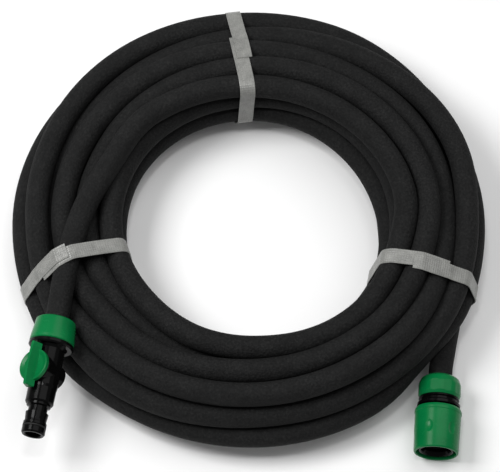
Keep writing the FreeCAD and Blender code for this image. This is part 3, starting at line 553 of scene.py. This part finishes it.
def porous_hose_look():
    """Matt recycled rubber crumb with open pores, which are painted darker as painted shade in their hollows,
    and uneven tone from crumb to crumb and along the hose.
    """
    look = Look("porous_hose", (0.012, 0.012, 0.0125), 0.85, 0.22)
    crumb = look.noise(620.0, 5.0, 0.75)
    pores = look.cells(620.0)
    patches = look.noise(70.0, 3.0)
    grains = look.ramp(crumb, [(0.36, (0.0022, 0.0023, 0.0024)), (0.52, (0.0085, 0.0087, 0.0088)),
                               (0.68, (0.0196, 0.0195, 0.0189))])
    tone = look.ramp(patches, [(0.32, 0.66), (0.68, 1.0)])
    # The pores are painted darker here: this is painted shade in their hollows.
    pore_shade = look.ramp(pores, [(0.0, 0.55), (0.30, 1.0)])
    look.colour(look.darken(look.darken(grains, tone, 1.0), pore_shade, 0.75))
    look.rough(crumb, 0.74, 0.96)
    look.relief([(patches, 0.35, 0.0012), (pores, 0.55, 0.0005), (crumb, 0.8, 0.0004)])
    return look.material


def strapping_look():
    """Milky polypropylene band: slightly see-through, with faint drawn streaks and scuffs."""
    look = Look("strapping", (0.20, 0.20, 0.19), 0.42, 0.4)
    haze = look.noise(160.0, 4.0)
    scuffs = look.noise(900.0, 2.0, 0.7)
    milk = look.ramp(haze, [(0.3, (0.190, 0.192, 0.182)), (0.7, (0.270, 0.271, 0.256))])
    marks = look.ramp(scuffs, [(0.35, 0.86), (0.65, 1.0)])
    look.colour(look.darken(milk, marks, 1.0))
    look.rough(scuffs, 0.20, 0.42)
    look.relief([(scuffs, 0.25, 0.0002)])
    look.shader.inputs["Subsurface Weight"].default_value = 0.12
    look.shader.inputs["Subsurface Radius"].default_value = (0.002, 0.002, 0.002)
    return look.material


def moulded_look(name, colour, roughness, specular, grain):
    """Injection-moulded plastic: a little uneven in tone and gloss, with a faint surface grain."""
    look = Look(name, colour, roughness, specular)
    flow = look.noise(45.0, 3.0)
    fine = look.noise(1400.0, 2.0, 0.6)
    handled = look.noise(210.0, 5.0, 0.7)
    darker = tuple(channel * 0.86 for channel in colour)
    lighter = tuple(min(1.0, channel * 1.12 + 0.0015) for channel in colour)
    look.colour(look.ramp(flow, [(0.28, darker), (0.72, lighter)]))
    look.rough(handled, roughness - 0.07, roughness + 0.10)
    look.relief([(flow, 0.10, 0.0008), (fine, grain, 0.00012)])
    return look.material


def spring_look():
    """Drawn stainless wire: fine scratches over a bright metal."""
    look = Look("spring_steel", (0.58, 0.57, 0.55), 0.28)
    look.shader.inputs["Metallic"].default_value = 1.0
    scratches = look.noise(2600.0, 2.0, 0.7)
    stain = look.noise(120.0, 3.0)
    look.colour(look.ramp(stain, [(0.3, (0.50, 0.49, 0.47)), (0.7, (0.62, 0.61, 0.59))]))
    look.rough(scratches, 0.2, 0.42)
    look.relief([(scratches, 0.2, 0.00005)])
    return look.material


def node_looks():
    """The finish of each CAD node that stays, from the record's material slots."""
    looks = {
        "green_plastic": moulded_look("green_plastic", (0.0007, 0.138, 0.036), 0.24, 0.14, 0.12),
        "black_plastic": moulded_look("black_plastic", (0.0016, 0.0016, 0.0017), 0.13, 0.08, 0.04),
        "seat_plastic": moulded_look("seat_plastic", (0.62, 0.62, 0.59), 0.35, 0.45, 0.08),
        "seal_rubber": moulded_look("seal_rubber", (0.008, 0.008, 0.008), 0.55, 0.30, 0.30),
        "spring_steel": spring_look(),
    }
    slots = {part["node"]: part["material_slot"] for part in frame["record"]["subparts"]}
    for name, node in frame["nodes"].items():
        if slots[name] in looks:
            node.data.materials.clear()
            node.data.materials.append(looks[slots[name]])


# ---------------------------------------------------------------- camera, light and floor


def camera():
    """A long lens looking down at the whole part from the side that the hose ends point to."""
    data = bpy.data.cameras.new("camera")
    data.sensor_width = 36.0
    data.lens = 147.744
    data.clip_end = 20.0
    camera = bpy.data.objects.new("camera", data)
    elevation = math.radians(65.5)
    aim = Vector((0.0008, -0.0095, 0.0309))
    away = 1.5
    camera.location = aim + Vector((0.0, -math.cos(elevation), math.sin(elevation))) * away
    camera.rotation_euler = (math.pi / 2 - elevation, 0.0, 0.0)
    bpy.context.scene.collection.objects.link(camera)
    bpy.context.scene.camera = camera


def softbox(name, energy, size, location):
    """A square soft light aimed at the middle of the coil."""
    lamp = bpy.data.lights.new(name, "AREA")
    lamp.energy = energy
    lamp.size = size
    box = bpy.data.objects.new(name, lamp)
    box.location = location
    box.rotation_euler = (-Vector(location)).to_track_quat("-Z", "Y").to_euler()
    bpy.context.scene.collection.objects.link(box)


def lights():
    world = bpy.data.worlds.new("studio")
    world.use_nodes = True
    background = world.node_tree.nodes["Background"]
    background.inputs["Color"].default_value = (1.0, 1.0, 1.0, 1.0)
    background.inputs["Strength"].default_value = 0.30
    bpy.context.scene.world = world
    softbox("key_softbox", 12.0, 0.55, (-0.72, 0.05, 1.10))
    softbox("top_softbox", 8.0, 1.2, (0.55, 0.35, 1.35))
    softbox("small_softbox", 2.6, 0.16, (-0.05, -0.15, 1.40))


def floor():
    mesh = bpy.data.meshes.new("floor")
    side = 3.0
    corners = [(-side, -side, 0), (side, -side, 0), (side, side, 0), (-side, side, 0)]
    mesh.from_pydata(corners, [], [(0, 1, 2, 3)])
    plane = bpy.data.objects.new("floor", mesh)
    bpy.context.scene.collection.objects.link(plane)
    look = Look("studio_floor", (0.9, 0.9, 0.9), 0.85, 0.2)
    look.colour(look.ramp(look.noise(6.0), [(0.3, 0.885), (0.7, 0.905)]))
    mesh.materials.append(look.material)


# ---------------------------------------------------------------- build


def hose(curve, material):
    curve.bevel_depth = HOSE_DIAMETER / 2
    curve.bevel_resolution = ROUND_STEPS
    curve.materials.append(material)
    piece = bpy.data.objects.new("soaker_hose", curve)
    bpy.context.scene.collection.objects.link(piece)
    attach(piece, "root")
    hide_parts("hose_coil", "hose_valve_end", "hose_connector_end")


camera()
route = hose_spline()
hose_line = fine_line(route)
hose(route, porous_hose_look())
add_bands(hose_line, strapping_look())
node_looks()
lights()
floor()
bpy.context.scene.view_settings.view_transform = "Standard"
